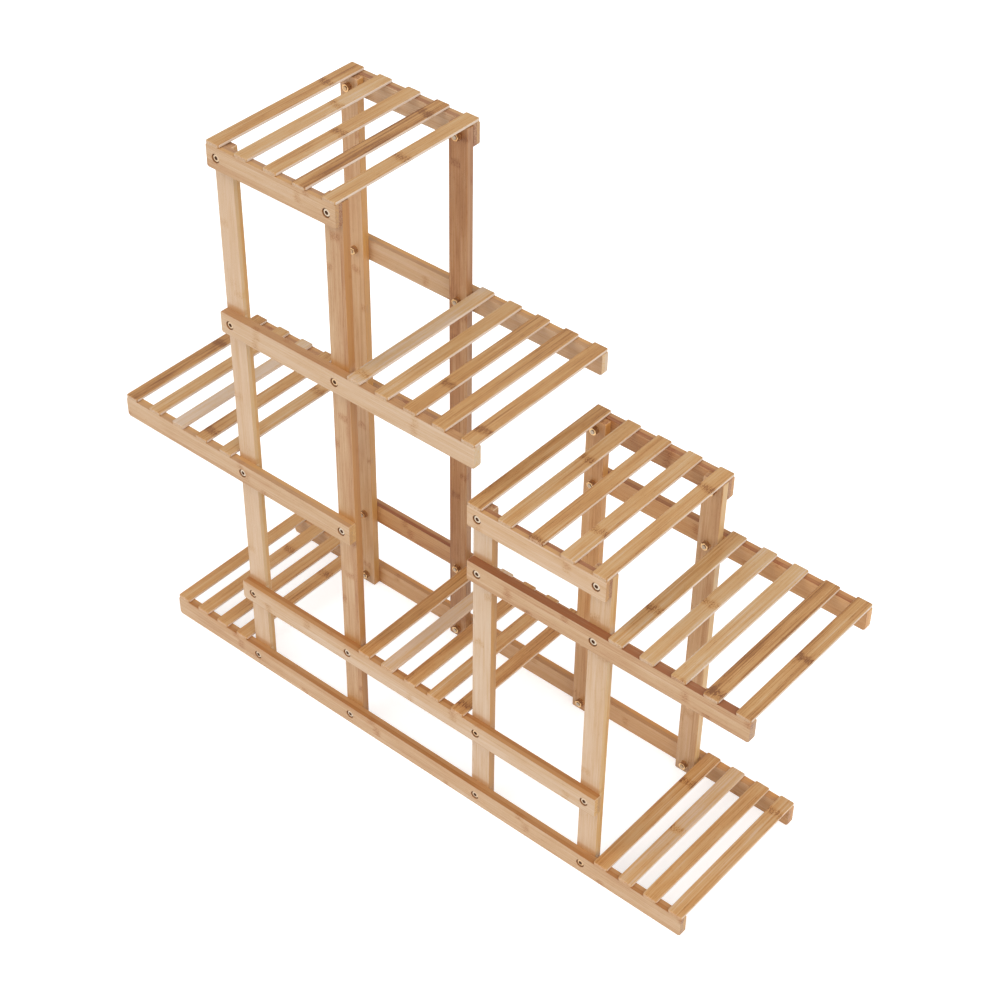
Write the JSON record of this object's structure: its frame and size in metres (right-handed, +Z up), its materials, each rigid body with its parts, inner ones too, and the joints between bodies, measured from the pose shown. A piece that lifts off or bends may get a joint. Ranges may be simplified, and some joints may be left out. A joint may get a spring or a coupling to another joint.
{
  "type": "tiered plant stand",
  "caption": "Stepped free-standing bamboo plant stand: slatted shelves on rails bolted to upright legs, tall at one end and low at the other, for potted plants.",
  "frame": {"origin": "on the floor, under the middle of the stand's outer box", "axes": "+X along the length towards the low end, +Y to the rear, +Z up"},
  "size_m": [1.026, 0.25, 0.846],
  "materials": {
    "board_bamboo": "laminated bamboo, sanded and clear lacquered, satin",
    "slat_bamboo": "bamboo strip, clear lacquered, satin, tone varies from slat to slat",
    "fastener_steel": "zinc-plated steel"
  },
  "bodies": {
    "root": {"leg_front_1": "board_bamboo", "leg_front_2": "board_bamboo", "leg_front_3": "board_bamboo", "leg_front_4": "board_bamboo", "leg_rear_1": "board_bamboo", "leg_rear_2": "board_bamboo", "leg_rear_3": "board_bamboo", "leg_rear_4": "board_bamboo", "level_1_rail_front": "board_bamboo", "level_2_rail_front": "board_bamboo", "level_3_rail_front": "board_bamboo", "level_4_rail_front": "board_bamboo", "level_5_rail_front": "board_bamboo", "level_6_rail_front": "board_bamboo", "level_7_rail_front": "board_bamboo", "level_1_rail_rear": "board_bamboo", "level_2_rail_rear": "board_bamboo", "level_3_rail_rear": "board_bamboo", "level_4_rail_rear": "board_bamboo", "level_5_rail_rear": "board_bamboo", "level_6_rail_rear": "board_bamboo", "level_7_rail_rear": "board_bamboo", "level_1_left_slat_1": "slat_bamboo", "level_1_left_slat_2": "slat_bamboo", "level_1_left_slat_3": "slat_bamboo", "level_1_left_slat_4": "slat_bamboo", "level_1_right_slat_1": "slat_bamboo", "level_1_right_slat_2": "slat_bamboo", "level_1_right_slat_3": "slat_bamboo", "level_1_right_slat_4": "slat_bamboo", "level_2_slat_1": "slat_bamboo", "level_2_slat_2": "slat_bamboo", "level_2_slat_3": "slat_bamboo", "level_2_slat_4": "slat_bamboo", "level_2_slat_5": "slat_bamboo", "level_3_slat_1": "slat_bamboo", "level_3_slat_2": "slat_bamboo", "level_3_slat_3": "slat_bamboo", "level_3_slat_4": "slat_bamboo", "level_3_slat_5": "slat_bamboo", "level_4_slat_1": "slat_bamboo", "level_4_slat_2": "slat_bamboo", "level_4_slat_3": "slat_bamboo", "level_4_slat_4": "slat_bamboo", "level_4_slat_5": "slat_bamboo", "level_5_slat_1": "slat_bamboo", "level_5_slat_2": "slat_bamboo", "level_5_slat_3": "slat_bamboo", "level_5_slat_4": "slat_bamboo", "level_5_slat_5": "slat_bamboo", "level_6_slat_1": "slat_bamboo", "level_6_slat_2": "slat_bamboo", "level_6_slat_3": "slat_bamboo", "level_6_slat_4": "slat_bamboo", "level_6_slat_5": "slat_bamboo", "level_7_slat_1": "slat_bamboo", "level_7_slat_2": "slat_bamboo", "level_7_slat_3": "slat_bamboo", "level_7_slat_4": "slat_bamboo", "level_7_slat_5": "slat_bamboo"}
  },
  "joints": []
}
